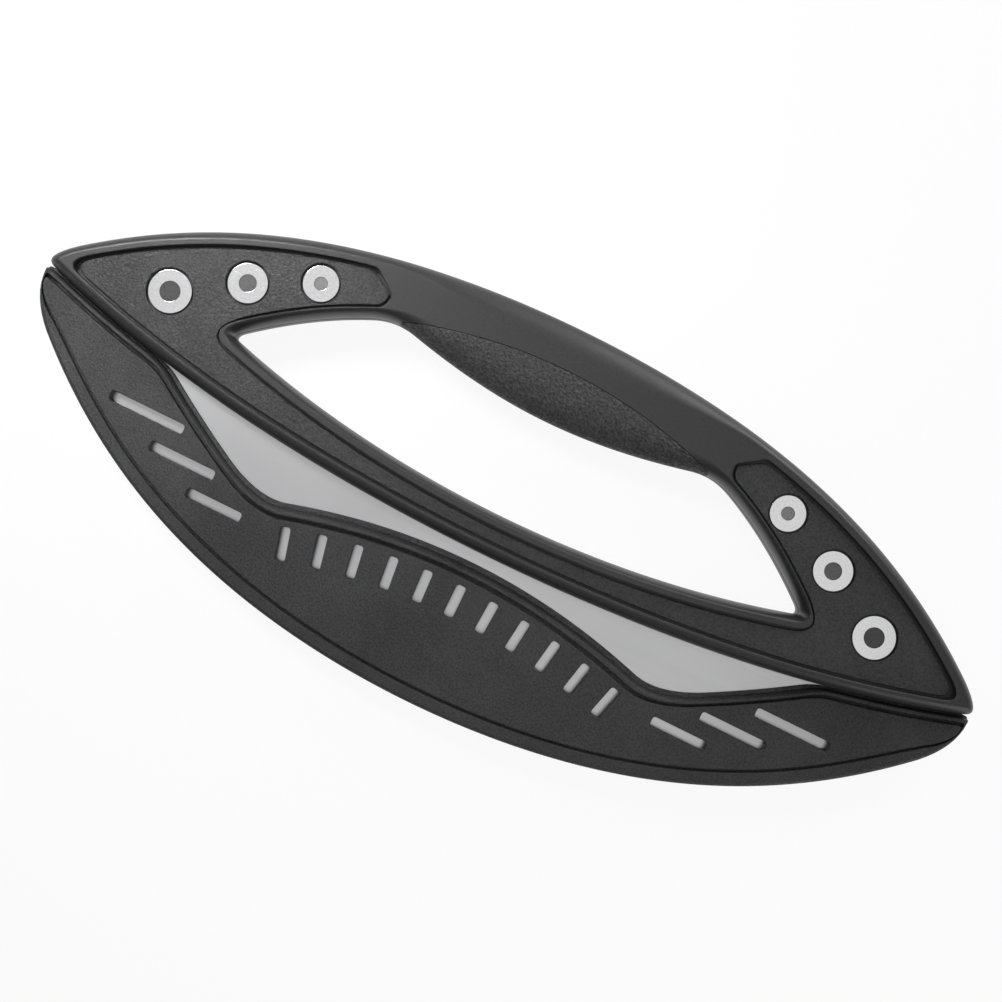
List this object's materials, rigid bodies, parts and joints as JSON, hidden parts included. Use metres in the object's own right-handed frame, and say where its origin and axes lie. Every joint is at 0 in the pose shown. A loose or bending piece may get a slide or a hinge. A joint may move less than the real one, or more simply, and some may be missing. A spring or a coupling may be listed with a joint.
{
  "type": "rocker pizza cutter",
  "caption": "Long rocker pizza cutter with a curved steel blade, a riveted two-shell handle with a finger opening, and a slotted slip-on blade guard.",
  "frame": {"origin": "centre of the outline, on the surface that the rear of the handle lies on", "axes": "+X along the blade, +Y from the cutting edge to the grip, +Z from the rear face to the front face"},
  "size_m": [0.33, 0.1316, 0.02],
  "materials": {
    "blade_steel": "fine satin",
    "rivet_steel": "satin",
    "handle_plastic": "satin",
    "panel_plastic": "fine grain",
    "guard_plastic": "fine grain",
    "soft_grip": "grained"
  },
  "bodies": {
    "cutter": {"blade": "blade_steel", "handle_front": "handle_plastic", "handle_rear": "handle_plastic", "panel_front": "panel_plastic", "panel_rear": "panel_plastic", "soft_grip_front": "soft_grip", "soft_grip_rear": "soft_grip", "rivet_sleeve_left_large": "rivet_steel", "rivet_sleeve_left_medium": "rivet_steel", "rivet_sleeve_left_small": "rivet_steel", "rivet_sleeve_right_large": "rivet_steel", "rivet_sleeve_right_medium": "rivet_steel", "rivet_sleeve_right_small": "rivet_steel", "rivet_pin_left_large": "rivet_steel", "rivet_pin_left_medium": "rivet_steel", "rivet_pin_left_small": "rivet_steel", "rivet_pin_right_large": "rivet_steel", "rivet_pin_right_medium": "rivet_steel", "rivet_pin_right_small": "rivet_steel"},
    "guard": {"guard_front": "guard_plastic", "guard_rear": "guard_plastic"}
  },
  "joints": [
    {"name": "guard_slide", "type": "slide", "parent": "cutter", "child": "guard", "axis": [0, -1, 0], "range_m": [0, 0.06]}
  ]
}
